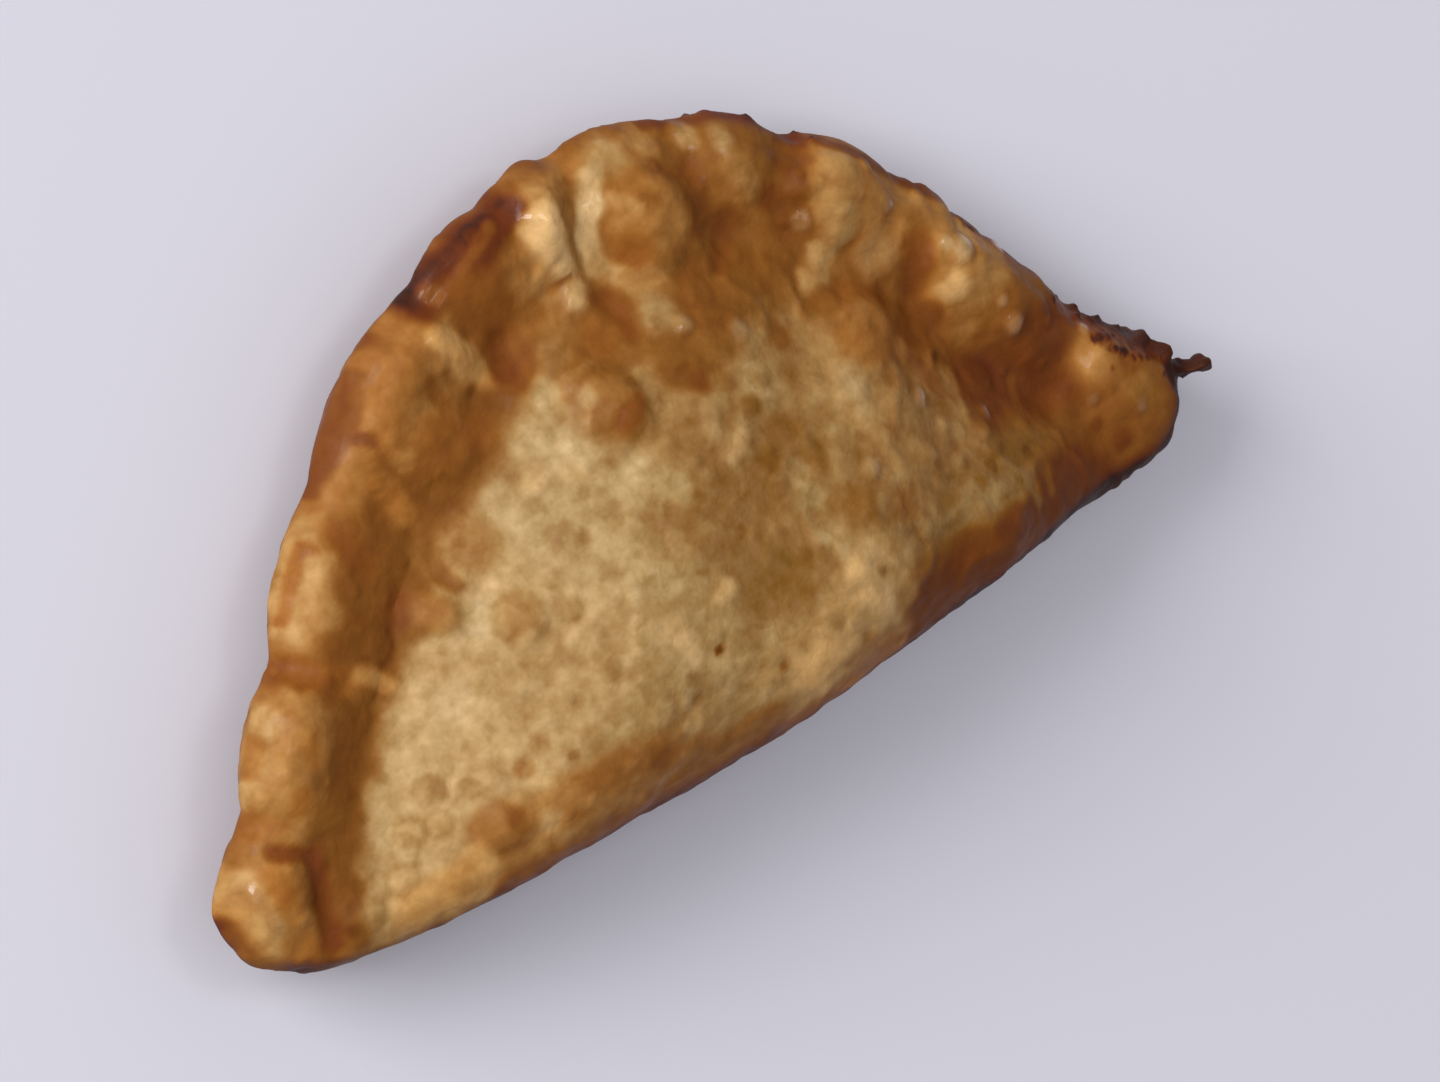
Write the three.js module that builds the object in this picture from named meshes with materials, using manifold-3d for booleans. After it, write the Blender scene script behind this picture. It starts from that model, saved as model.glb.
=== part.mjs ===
// A fried half-moon turnover with a finger-crimped rim, lying on its back with its filled side up.
// Millimetres, +Z up. X runs along the fold from left to right, Y from the fold to the crimped arc.
// The origin is in the middle of the pastry's box, on the surface that it lies on.
import * as THREE from "three";
import { mergeVertices } from "three/addons/utils/BufferGeometryUtils.js";
import Module from "manifold-3d";

const wasm = await Module();
wasm.setup();

// Plan outline before crimping: the arc runs from the right-hand corner to the left, the fold runs back
const ARC_POINTS = [
  [62.8, 1], [52.2, 14.6], [41.3, 31.4], [29, 44], [14, 52.8], [-5, 55],
  [-21, 49.8], [-36, 38], [-50, 22.2], [-59.5, 10], [-66.3, 0.5],
];
const FOLD_POINTS = [
  [-64.2, -6.6], [-52, -11], [-24, -11.8], [2, -11.6], [25, -9.6], [43, -8], [56.5, -7], [61.4, -4.2],
];
const HEART = new THREE.Vector2(0, 16); // the point that the crimps turn towards

// Driving dimensions of the thickness, from the sealed mid-plane
const REST_HEIGHT = 9.6; // mid-plane above the resting surface
const SEAM_HALF = 2.1; // half of the two pressed dough sheets at the rim
const EDGE_ROUND = 1.1; // how quickly the edge rounds off
const FRONT_BELLY = 14; // filling under the upper sheet
const BACK_BELLY = 10.4; // filling under the lower sheet, squashed by lying on it
const BELLY_START = 12; // from the crimped edge to the foot of the belly
const BELLY_FULL = 44; // from the crimped edge to where the belly would be level
const BELLY_CROWN = 1.7; // 1 would be a straight slope, more is rounder
const FOLD_ROUND = 17; // from the fold to the full belly
const LUMP = 0.55; // gentle unevenness of the filling
const LUMP_LONG = 7; // run of the slower lumps
const LUMP_SHORT = 5; // run of the quicker lumps
const RIM_WAVE = 1.1; // how far the rim wanders up and down
const RIM_WAVE_LENGTH = 58;

// Finger crimps along the arc, from the left corner: where each ends, how far it puffs up and reaches out
const CRIMP_START = -8;
const RIM_WIDTH = 16.5; // from the edge to the inner foot of a crimp
const CRIMP_TOP = 5; // from the edge to the highest line of a crimp
const CRIMP_SLANT = 0.1; // sideways run of a crease for each step in from the edge
const CRIMP_SWELL = 2.4; // higher gives fuller crimps with tighter creases
const CREASE_FILL = 0.5; // height left in a crease, as a share of the lower crimp beside it
const BACK_CRIMP_SHARE = 0.75;
const CRIMPS = [
  { end: 10.5, height: 3.8, reach: 1.6 },
  { end: 26.5, height: 3.4, reach: 1.8 },
  { end: 45.5, height: 3.0, reach: 1.3 },
  { end: 68, height: 3.4, reach: 1.6 },
  { end: 81.5, height: 1.6, reach: 0.8 },
  { end: 90.5, height: 3.0, reach: 0.8 },
  { end: 106, height: 1.8, reach: 1.0 },
  { end: 118, height: 2.6, reach: 1.0 },
  { end: 134, height: 3.2, reach: 1.4 },
  { end: 143, height: 2.2, reach: 0.8 },
  { end: 162, height: 3.4, reach: 0.9 },
  { end: 190, height: 3.2, reach: 0.8 },
];

// Large blisters on the upper side: place, radius and height
const BLISTER_SWELL = 1.2; // 1 would be a plain bowl turned over, more has a softer foot
const FRONT_BLISTERS = [
  { x: 8.8, y: 44.6, radius: 7, height: 3.2 },
  { x: -6.5, y: 31.5, radius: 4.8, height: 1.7 },
  { x: 25, y: 25, radius: 6.5, height: 1.8 },
  { x: -25.5, y: 16, radius: 3.2, height: 0.8 },
  { x: -32.5, y: 19.5, radius: 3.8, height: 1.5 },
  { x: -36.5, y: -2, radius: 3.8, height: 1.2 },
  { x: 30, y: -3, radius: 8, height: 1.2 },
  { x: -24, y: 35, radius: 5, height: 1.2 },
  { x: 40, y: 25, radius: 4.6, height: 1.6 },
];

// Blisters on the lower side, strewn by a seeded draw
const BACK_BLISTER_COUNT = 16;
const BACK_BLISTER_SMALL = 3.4;
const BACK_BLISTER_LARGE = 5.6;
const BACK_BLISTER_RISE = 0.26; // height as a share of the radius
const BACK_BLISTER_INSET = [0.12, 0.75]; // way from the outline to the heart, least and most
const BACK_SEED = 11;

// Burnt thread of dough at the right-hand corner
const THREAD_RADIUS = 0.8;
const THREAD_LENGTH = 4.6;
const THREAD_PLACE = new THREE.Vector3(64.6, -0.4, 0.3); // its middle, from the mid-plane
const THREAD_AIM = new THREE.Vector3(0.91, -0.39, 0.14).normalize();
const THREAD_SIDES = 7;

// Fineness of the faceted surface
const SPLITS = 36; // splits along an edge of the eight-faced ball that is pressed into the pastry
const RIM_STEPS = 4 * SPLITS;
const ARC_STEPS = 92; // of the rim steps, those along the crimped arc
const WAIST_BAND = 1e-6;
const ARC_SAMPLES = 400;
const FOLD_SAMPLES = 240;

const { smoothstep, clamp, lerp, seededRandom } = THREE.MathUtils;

// Round hump: 1 in the middle, 0 at and beyond one radius from it
const dome = (offset) => Math.sqrt(Math.max(0, 1 - offset * offset));

// Like the dome, but meeting its neighbour in an open crease
const swell = (offset) => Math.max(0, 1 - Math.abs(offset) ** CRIMP_SWELL);

const spline = (points) => new THREE.SplineCurve(points.map(([x, y]) => new THREE.Vector2(x, y)));

const plainArc = spline(ARC_POINTS);
const ARC_LENGTH = plainArc.getLength();

// The crimp at a distance along the arc, with a hump that is 1 on its middle and 0 at its creases,
// and the height that runs on through the creases at both its ends
function crimpAt(along) {
  const found = CRIMPS.findIndex(({ end }) => along < end);
  const index = found < 0 ? CRIMPS.length - 1 : found;
  const crimp = CRIMPS[index];
  const before = CRIMPS[index - 1] ?? crimp;
  const after = CRIMPS[index + 1] ?? crimp;
  const start = index > 0 ? before.end : CRIMP_START;
  const share = clamp((along - start) / (crimp.end - start), 0, 1);
  const lower = ({ height }) => Math.min(crimp.height, height);
  const floor = CREASE_FILL * lerp(lower(before), lower(after), share);
  return { crimp, hump: swell(2 * share - 1), floor };
}

// The arc with each crimp reaching out past the crease beside it
class CrimpedArc extends THREE.Curve {
  getPoint(t, target = new THREE.Vector2()) {
    const tangent = plainArc.getTangentAt(t);
    const { crimp, hump } = crimpAt((1 - t) * ARC_LENGTH);
    plainArc.getPointAt(t, target);
    target.x += tangent.y * crimp.reach * hump;
    target.y -= tangent.x * crimp.reach * hump;
    return target;
  }
}

const crimpedArc = new CrimpedArc();
const plainSamples = plainArc.getSpacedPoints(ARC_SAMPLES);
const arcSamples = crimpedArc.getPoints(ARC_SAMPLES);
const fold = spline([crimpedArc.getPoint(1).toArray(), ...FOLD_POINTS, crimpedArc.getPoint(0).toArray()]);
const foldSamples = fold.getSpacedPoints(FOLD_SAMPLES);

function outlinePoint(step) {
  if (step <= ARC_STEPS) return crimpedArc.getPoint(step / ARC_STEPS);
  return fold.getPointAt((step - ARC_STEPS) / (RIM_STEPS - ARC_STEPS));
}

// The closest of a row of points: how far it is, and its share of the way along the row
function closest(row, point) {
  let gap = Infinity;
  let share = 0;
  row.forEach((sample, index) => {
    const distance = sample.distanceTo(point);
    if (distance < gap) {
      gap = distance;
      share = index / (row.length - 1);
    }
  });
  return { gap, share };
}

// Distance to the crimped edge by its pull as a whole, so no ridge runs where two stretches are as near.
// A straight edge that pulls by the fifth power of distance gives its own distance back.
function softGap(point) {
  const step = ARC_LENGTH / ARC_SAMPLES;
  const pull = arcSamples.reduce((sum, sample) => sum + step / sample.distanceTo(point) ** 5, 0);
  return (4 / (3 * pull)) ** 0.25;
}

// How a point of the plan lies to the crimped edge and to the fold
function layOf(point) {
  const edge = closest(arcSamples, point).gap;
  const foldGap = closest(foldSamples, point).gap;
  const along = (1 - closest(plainSamples, point).share) * ARC_LENGTH;
  return { point, edge, softEdge: softGap(point), along, foldGap };
}

function crimpHeight({ edge, along, foldGap }) {
  const { crimp, hump, floor } = crimpAt(along + CRIMP_SLANT * (edge - CRIMP_TOP));
  const across = edge < CRIMP_TOP ? swell(edge / CRIMP_TOP - 1) : 1 - smoothstep(edge, CRIMP_TOP, RIM_WIDTH);
  return lerp(floor, crimp.height, hump) * across * (1 - Math.exp(-foldGap / CRIMP_TOP));
}

function bellyHeight({ point, softEdge, foldGap }, fullHeight) {
  const slope = clamp((softEdge - BELLY_START) / (BELLY_FULL - BELLY_START), 0, 1);
  const rise = 1 - (1 - slope) ** BELLY_CROWN;
  const roll = dome(1 - Math.min(foldGap / FOLD_ROUND, 1));
  const slow = Math.sin(point.x / LUMP_LONG + 1) * Math.cos(point.y / LUMP_LONG);
  const quick = Math.sin((point.x - point.y) / LUMP_SHORT);
  return roll * (fullHeight * rise + LUMP * (slow + quick) * Math.sqrt(rise));
}

function blisterHeight(blisters, { point, edge, foldGap }) {
  const settle = 1 - Math.exp(-Math.min(edge, foldGap) / EDGE_ROUND);
  return blisters.reduce((highest, { x, y, radius, height }) => {
    const offset = Math.hypot(point.x - x, point.y - y) / radius;
    return Math.max(highest, height * settle * Math.max(0, 1 - offset ** 2) ** BLISTER_SWELL);
  }, 0);
}

function strewBackBlisters() {
  seededRandom(BACK_SEED);
  return Array.from({ length: BACK_BLISTER_COUNT }, () => {
    const target = outlinePoint(seededRandom() * RIM_STEPS);
    target.lerp(HEART, lerp(...BACK_BLISTER_INSET, seededRandom()));
    const radius = lerp(BACK_BLISTER_SMALL, BACK_BLISTER_LARGE, seededRandom());
    return { x: target.x, y: target.y, radius, height: radius * BACK_BLISTER_RISE };
  });
}

const backBlisters = strewBackBlisters();

function seamHeight({ edge, foldGap }) {
  return SEAM_HALF * (1 - Math.exp(-Math.min(edge, foldGap) / EDGE_ROUND));
}

function frontHeight(lay) {
  const sheet = seamHeight(lay) + bellyHeight(lay, FRONT_BELLY);
  return sheet + crimpHeight(lay) + blisterHeight(FRONT_BLISTERS, lay);
}

function backHeight(lay) {
  const sheet = seamHeight(lay) + bellyHeight(lay, BACK_BELLY);
  return sheet + BACK_CRIMP_SHARE * crimpHeight(lay) + blisterHeight(backBlisters, lay);
}

// The sealed mid-plane, which wanders up and down along the rim
function midHeight({ edge, along }) {
  const fade = 1 - smoothstep(edge, 0, BELLY_START * 2);
  return REST_HEIGHT + RIM_WAVE * fade * Math.sin((2 * Math.PI * along) / RIM_WAVE_LENGTH);
}

// Where a direction falls round a diamond, in quarter turns from +X
function quarterTurns(x, y) {
  const share = Math.abs(y) / (Math.abs(x) + Math.abs(y) || 1);
  if (y >= 0) return x >= 0 ? share : 2 - share;
  return x < 0 ? 2 + share : 4 - share;
}

// An eight-faced ball, split finely and pressed into the pastry: its waist becomes the outline
function pressBall() {
  const ball = new THREE.OctahedronGeometry(1, SPLITS - 1);
  ball.deleteAttribute("normal");
  ball.deleteAttribute("uv");
  const geometry = mergeVertices(ball);
  const vertices = geometry.getAttribute("position");
  const spot = new THREE.Vector3();
  for (let i = 0; i < vertices.count; i++) {
    spot.fromBufferAttribute(vertices, i);
    const ring = 1 - Math.abs(spot.z) / spot.manhattanLength();
    const rim = outlinePoint(quarterTurns(spot.x, spot.y) * SPLITS);
    const lay = layOf(HEART.clone().lerp(rim, ring));
    const height = spot.z > 0 ? frontHeight(lay) : -backHeight(lay);
    const onWaist = Math.abs(spot.z) < WAIST_BAND;
    vertices.setXYZ(i, lay.point.x, lay.point.y, Math.max(midHeight(lay) + (onWaist ? 0 : height), 0));
  }
  return geometry;
}

function burntThread() {
  const thread = new THREE.CapsuleGeometry(THREAD_RADIUS, THREAD_LENGTH, 2, THREAD_SIDES);
  const madeAlong = new THREE.Vector3(0, 1, 0);
  thread.applyQuaternion(new THREE.Quaternion().setFromUnitVectors(madeAlong, THREAD_AIM));
  thread.translate(THREAD_PLACE.x, THREAD_PLACE.y, REST_HEIGHT + THREAD_PLACE.z);
  thread.deleteAttribute("normal");
  thread.deleteAttribute("uv");
  return mergeVertices(thread);
}

function toSolid(geometry) {
  const vertProperties = new Float32Array(geometry.getAttribute("position").array);
  const triVerts = new Uint32Array(geometry.getIndex().array);
  return new wasm.Manifold(new wasm.Mesh({ numProp: 3, vertProperties, triVerts }));
}

function toGeometry(solid) {
  const mesh = solid.getMesh();
  const geometry = new THREE.BufferGeometry();
  geometry.setAttribute("position", new THREE.BufferAttribute(mesh.vertProperties, 3));
  geometry.setIndex(new THREE.BufferAttribute(mesh.triVerts, 1));
  return geometry;
}

const dough = toGeometry(toSolid(pressBall()).add(toSolid(burntThread())));
dough.computeBoundingBox();
const middle = dough.boundingBox.getCenter(new THREE.Vector3());
dough.translate(-middle.x, -middle.y, -dough.boundingBox.min.z);
dough.computeVertexNormals();

const crust = new THREE.MeshStandardMaterial({ color: 0xb0813f, roughness: 0.5, metalness: 0 });
const pastry = new THREE.Mesh(dough, crust);
pastry.name = "pastry";

const turnover = new THREE.Group();
turnover.add(pastry);

export default turnover;
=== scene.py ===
"""Looks of a fried half-moon turnover, worked over its own solid.

The crust starts as a copy of the solid, split finely and smoothed. Burnt crumbs are set along its edge,
and a second remesh fuses them on. Then it is worked as frying works dough: crimps crease, blisters puff,
pits sink, and each place browns as far as the oil took it. Named sizes are millimetres in the part's own
frame, and meshes are in metres.
"""

from __future__ import annotations

import logging
import math
from dataclasses import dataclass, field
from enum import Enum

import bpy
import numpy as np
from mathutils import Matrix, Vector, noise
from mathutils.kdtree import KDTree

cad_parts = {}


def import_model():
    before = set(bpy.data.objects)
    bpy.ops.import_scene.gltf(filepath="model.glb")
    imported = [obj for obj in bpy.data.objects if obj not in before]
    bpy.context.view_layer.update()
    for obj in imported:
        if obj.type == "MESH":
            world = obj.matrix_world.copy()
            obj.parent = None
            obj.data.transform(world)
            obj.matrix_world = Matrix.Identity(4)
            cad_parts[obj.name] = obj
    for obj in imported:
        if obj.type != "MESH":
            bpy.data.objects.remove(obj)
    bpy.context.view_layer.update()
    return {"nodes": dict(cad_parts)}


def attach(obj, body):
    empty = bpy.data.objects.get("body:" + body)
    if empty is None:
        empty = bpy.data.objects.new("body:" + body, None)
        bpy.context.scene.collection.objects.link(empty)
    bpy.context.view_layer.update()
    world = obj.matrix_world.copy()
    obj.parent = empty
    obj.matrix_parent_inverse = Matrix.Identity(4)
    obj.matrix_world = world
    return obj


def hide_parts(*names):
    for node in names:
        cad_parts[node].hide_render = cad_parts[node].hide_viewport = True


LOG = logging.getLogger("turnover")
MM = 0.001
NODE = "pastry"
BODY = "root"

# What the mesh carries at each point for its finish
LAYERS = ("browning", "red", "oil")

Colour = tuple[float, float, float, float]
Place = tuple[float, float]
Span = tuple[float, float]
Tone = float | None
Crumb = tuple[np.ndarray, float]
Stops = tuple[tuple[float, Colour], ...]
Settings = dict[str, object]
Sockets = dict[str | int, object]


def srgb(red: int, green: int, blue: int) -> Colour:
    """Turn a colour as a screen shows it, 0 to 255, into the linear light that a shader takes."""
    parts = np.array([red, green, blue]) / 255.0
    return (*np.where(parts <= 0.04045, parts / 12.92, ((parts + 0.055) / 1.055) ** 2.4).tolist(), 1.0)


def smoothstep(low: float | np.ndarray, high: float, value: np.ndarray) -> np.ndarray:
    """Rise smoothly from 0 at the low value to 1 at the high one, which may be the smaller of the two."""
    share = np.clip((value - low) / (high - low), 0.0, 1.0)
    return share * share * (3.0 - 2.0 * share)


def ridge(middle: float, width: float, value: np.ndarray) -> np.ndarray:
    """Rise to 1 at the middle value and fall away to 0 on both sides of it."""
    return np.exp(-(((value - middle) / width) ** 2))


def lumps(points: np.ndarray, run: float, seed: float) -> np.ndarray:
    """Give each point a smooth random value, about -1 to 1.

    Args:
        points: places in millimetres, one in each row.
        run: millimetres from one lump to the next.
        seed: a shift that makes one set of lumps unlike another.

    Returns:
        One value for each point.
    """
    shift = Vector((seed, -2.3 * seed, 1.7 * seed))
    values = (noise.noise(Vector(point) / run + shift) for point in points)
    return np.fromiter(values, float, len(points))


class Form(Enum):
    """How a mark rises from its outer rim to its middle."""

    DOME = "puffed up from a clear foot"
    SOFT = "swelling gently from nothing"
    RING = "a dome in a sunk ring"


# How far the browned outline of each form sways, and how gently its height rises
BEND = {Form.DOME: 0.6, Form.SOFT: 1.0, Form.RING: 0.3}
EASE = {Form.DOME: 0.9, Form.SOFT: 1.8, Form.RING: 0.9}

# Where the browning of a mark, a strewn blister or a crumb ends and is full, as shares of its reach
COVER = (1.05, 0.35)
STREWN_COVER = (1.1, 0.4)
CRUMB_COVER = (1.5, 0.8)

# Middle and width of the sunk and the browned ring round a mark, as shares of its reach
SUNK_RING = (1.05, 0.2)
BROWN_RING = (0.85, 0.2)
STREWN_RING = (0.95, 0.25)

# A sunk ring's depth as a share of its mark's height, and its end as a share of the reach
RING_DEPTH = 0.25
RING_END = 1.4


@dataclass(frozen=True)
class Mark:
    """A place on the shown side that rises, sinks or browns, round or drawn along a line.

    Attributes:
        path: the places in plan that its middle line runs through, one place for a round mark.
        reach: from the middle line to the outer rim.
        rise: height in the middle, below zero for a crease or pit.
        tone: how far it is browned, 0 pale to 1 burnt, or None to leave it.
        red: how far its brown is a red one, or None to leave it.
        form: how it rises.
        oil: how much it shines.
    """

    path: tuple[Place, ...]
    reach: float
    rise: float = 0.0
    tone: Tone = None
    red: Tone = None
    form: Form = Form.SOFT
    oil: float = 0.0


def blister(x: float, y: float, reach: float, rise: float, tone: Tone = None,
            red: Tone = None, form: Form = Form.DOME, oil: float = 0.0) -> Mark:
    """Make a round mark with a puffed middle."""
    return Mark(((x, y),), reach, rise, tone, red, form, oil)


def fold(x: float, y: float, to_x: float, to_y: float, reach: float, rise: float,
         tone: Tone = None, red: Tone = None, oil: float = 0.0) -> Mark:
    """Make a long mark, a ridge if it rises and a crease if it sinks."""
    return Mark(((x, y), (to_x, to_y)), reach, rise, tone, red, Form.SOFT, oil)


def stain(x: float, y: float, reach: float, tone: float, red: Tone = None) -> Mark:
    """Make a round mark that only browns or pales the crust."""
    return Mark(((x, y),), reach, 0.0, tone, red)


def band(x: float, y: float, to_x: float, to_y: float, reach: float, tone: float,
         red: Tone = None) -> Mark:
    """Make a long mark that only browns or pales the crust."""
    return Mark(((x, y), (to_x, to_y)), reach, 0.0, tone, red)


# The bottom of the dip between the left rim and the filled middle
LEFT_VALLEY = (
    (-55.4, -27), (-55, -21), (-49.5, -13.6), (-42.1, -5.4),
    (-34.3, 2.4), (-27.4, 7.8), (-19.4, 13.4), (-15.4, 16.6),
)

# Where that dip is deepest, so that its floor can be rounded
LEFT_FLOOR = (
    (-53.4, -27), (-52.6, -20), (-47.5, -14.4), (-42.5, -7.8), (-36.2, 0), (-28.6, 7.6), (-19.7, 15),
)

# Broad fields of browning, laid down first
FIELDS = (
    band(-45, -21, -19, 1, 15, 0.23, 0.15),
    band(-17, 4, -9, -6, 11, 0.27, 0),
    band(-26, -15, -8, -17, 8, 0.33, 0.1),
    band(-1, -3, 20, -11, 13, 0.51, 0.15),
    band(-1, -14, 4, -17, 6, 0.56, 0),
    band(2, -25, 12, -21, 7, 0.24, 0.45),
    band(20, -1, 23, -14, 6, 0.4, 0.35),
    band(-37, -25.8, -15, -25.8, 4.6, 0.45, 0.65),
    Mark(((-38, -31), (-24, -31.4), (-4, -31)), 3.2, 0, 0.6, 0.9),
    # Dark brown bands along the dip between the left rim and the middle: browning, and partly painted
    # shade in the hollow
    Mark(((-30, 13), (-36, 8), (-41, 1), (-46, -4)), 5.2, 0, 0.65, 0.75),
    Mark(LEFT_VALLEY, 4.8, 0, 0.71, 0.55),
    band(-13, 17, -14, 26, 5, 0.66, 0.9),
    band(-6, 15, 8, 11, 6, 0.62, 0.5),
    band(10, 14, 22, 12, 6, 0.67, 0.6),
    band(26, 2, 33, -3, 6, 0.57, 0.95),
    band(37, -11, 47, -14, 7.5, 0.81, 0.9),
    band(24, -13, 31, -15, 6, 0.47, 0.35),
    band(26, -20, 38, -20, 5, 0.62, 0.1),
    band(20, -27, 46, -26, 7.5, 0.82, 0.85),
    band(30, 17, 42, 3, 6, 0.39, 0.75),
    band(12, 29, 24, 24, 5, 0.62, 0.6),
)

# The corner at the left end of the fold and the crimps above it
LEFT_RIM = (
    Mark(LEFT_FLOOR, 4, 0.6),
    # Corner lobe: paler on its left face, browner on its inner face, dark in the creases above and beside
    # it; partly browning, partly painted light and shade
    fold(-64.6, -18.4, -64.2, -27, 3.8, 0.4, 0.25, 0.5),
    fold(-60.8, -18.6, -60.6, -27, 2.6, 0.3, 0.43, 1),
    fold(-64, -19.4, -62.6, -24, 1.2, 0.3, 0.34, 0.6, 0.4),
    fold(-62.4, -15.8, -59.4, -16.4, 1.7, -0.3, 0.5, 0.6),
    fold(-60, -16.4, -56.4, -18.4, 1.3, -0.5, 0.76, 1),
    fold(-56, -19, -57, -28.6, 1.7, -0.6, 0.78, 1),
    stain(-52.6, -27.4, 2, 0.54, 0.2),
    fold(-62.4, -13, -58.6, -14.2, 1.6, -0.4, 0.52, 0.8),
    fold(-58, -10, -52.4, -3.8, 4.6, 0.4, 0.38, 0.65),
    band(-59.6, -10.8, -54.4, -3.6, 1.2, 0.32, 0.4),
    stain(-55.4, -13, 2.6, 0.5, 1),
    stain(-52.2, -8.4, 2.8, 0.39, 1),
    fold(-58, -8.8, -56, -5.6, 0.7, -0.3, 0.42, 0.7),
    fold(-52.6, -0.4, -49, -1.6, 2.4, -0.4, 0.6, 0.85),
    fold(-49, -1.6, -45, -4.4, 2.6, -0.3, 0.6, 1),
    fold(-43, -4.6, -40.6, -7, 1.5, 0.3, 0.4, 0.7),
    fold(-48.2, 4, -42.4, 10.2, 3.8, 0.5, 0.29, 0.5),
    band(-47.8, 3.4, -42.8, 9, 0.6, 0.46, 0.9),
    stain(-44.4, 3.2, 2.8, 0.36, 0.6),
    stain(-42, 9.2, 1, 0.52, 0.9),
    fold(-39, 8.6, -37.6, 5, 2.4, -0.2, 0.66, 1),
    # Darker on the middle's slope beside the dip: partly browning, partly painted shade
    stain(-36.2, -0.4, 2.6, 0.72, 0.95),
    stain(-40.5, 0.6, 1, 0.74, 0.9),
    blister(-35.4, 12.6, 2.8, 0.3, 0.48, 0.75),
    fold(-32.4, 12.4, -30.8, 8, 1.8, 0.3, 0.48, 0.95),
    band(-38.4, 13.8, -26.4, 26, 1.2, 0.68, 0.9),
    fold(-32.8, 17.6, -31, 16.6, 1.2, -0.4, 0.76, 0.9),
    fold(-29.2, 14.5, -29, 20.5, 2.6, 0.3, 0.5, 0.8),
    blister(-27, 22.4, 3.8, 0.4, 0.54, 0.75),
    stain(-28.2, 23.6, 1.8, 0.42, 0.8),
    blister(-24.4, 13.4, 4.6, 0.2, 0.58, 0.95),
    fold(-23.8, 19.5, -22.6, 16, 1.5, -0.3, 0.6, 0.9),
    fold(-20.8, 23.6, -18.6, 19.8, 2.2, 0.5, 0.15, 0.9, 0.3),
    fold(-18.6, 19.8, -16.8, 17, 2, 0.4, 0.28, 0.85),
    stain(-20, 12.6, 3, 0.66, 0.9),
    stain(-29.4, 13.2, 1.9, 0.36, 0.95),
)

# The top of the arc: burnt edge, pale ridges and the big blister
CROWN = (
    band(-20, 27.6, -7, 31, 3.6, 0.87, 1),
    band(-15, 28.4, -9.6, 30.6, 0.9, 0.72, 1),
    blister(-18.6, 27.2, 1.5, 0.3, 0.64, 0.9, oil=0.2),
    fold(-15.6, 26, -13, 17, 3.6, -0.5, 0.67, 0.9),
    fold(-13.6, 19, -14.2, 16.4, 1.8, -0.2, 0.76, 0.9),
    stain(-9.6, 25.4, 2.6, 0.48, 0.9),
    stain(-9, 20.4, 2.6, 0.62, 0.8),
    fold(-3.6, 31, -4.2, 28.4, 2, 0.3, 0.28, 0.6),
    fold(-4.4, 28.4, -3.2, 22.8, 2.7, 0.5, 0.04, 0.5, 0.5),
    fold(-5.4, 21.4, -3.2, 21.4, 0.8, -0.2, 0.54, 0.9),
    blister(-3.2, 19.5, 2.3, 0.5, 0.18, 0.45, oil=0.4),
    fold(-1, 28, -0.9, 24, 1.6, -0.2, 0.42, 0.6),
    fold(-0.9, 24, -0.4, 20.6, 1.6, -0.15, 0.47, 0.5),
    fold(-0.2, 17.6, 0.8, 14.8, 2.4, -0.4, 0.72, 0.9),
    stain(0.5, 31, 2.4, 0.36, 0.8),
    stain(6.2, 30.6, 3.4, 0.26, 0.4),
    stain(11.4, 30.4, 2.6, 0.4, 0.55),
    band(13, 31.2, 21, 28.4, 1, 0.7, 1),
    blister(7.2, 23.2, 6.2, 0.6, 0.41, 0.75, Form.RING),
    stain(4.8, 21, 2.6, 0.58, 1),
    stain(7.4, 25.2, 2.2, 0.58, 0.7),
    stain(10.8, 20.8, 2.8, 0.37, 1),
    fold(11, 27.8, 13.4, 25.6, 1.2, -0.3, 0.66, 0.9),
    fold(15, 25.2, 14.2, 19.8, 2, -0.3, 0.71, 0.8),
    fold(3.6, 29.8, 2.4, 26.8, 1.9, 0.4, 0.12, 0.3),
    fold(2.4, 26.8, 0.9, 24.4, 2.1, 0.4, 0.05, 0.3, 0.4),
    fold(0.9, 24.4, 0.8, 21.4, 1.9, 0.4, 0.11, 0.4),
    fold(0.7, 21.2, 3.2, 18.6, 1.6, 0.3, 0.26, 0.5),
    fold(3.2, 18.6, 6, 17.4, 1.4, 0.2, 0.4, 0.6),
    stain(16.6, 17.8, 2.6, 0.72, 0.8),
    fold(4.8, 27, 6.4, 25.2, 1, 0.2, 0.36, 0.6),
    blister(3.4, 14.2, 3, 0.4, 0.44, 0.1, oil=0.3),
    stain(-3.4, 14.8, 3, 0.62, 0.9),
    blister(-9, 15.6, 2.4, 0.3, 0.46, 0.3),
    stain(-12, 12.4, 2.2, 0.2, 0.1),
    fold(-10.4, 11.4, -9, 12.8, 0.9, 0.3, 0.36, 0.4),
    fold(-9, 12.8, -6, 12.8, 0.9, 0.3, 0.4, 0.4),
    blister(-7.2, 8.8, 4.4, 0.4, 0.56, 0.5, Form.RING),
    stain(-6.2, 7, 2.2, 0.64, 1),
    stain(-4.6, 8, 1.6, 0.6, 1),
    stain(-8.8, 10.6, 1.5, 0.36, 0.2),
)

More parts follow.
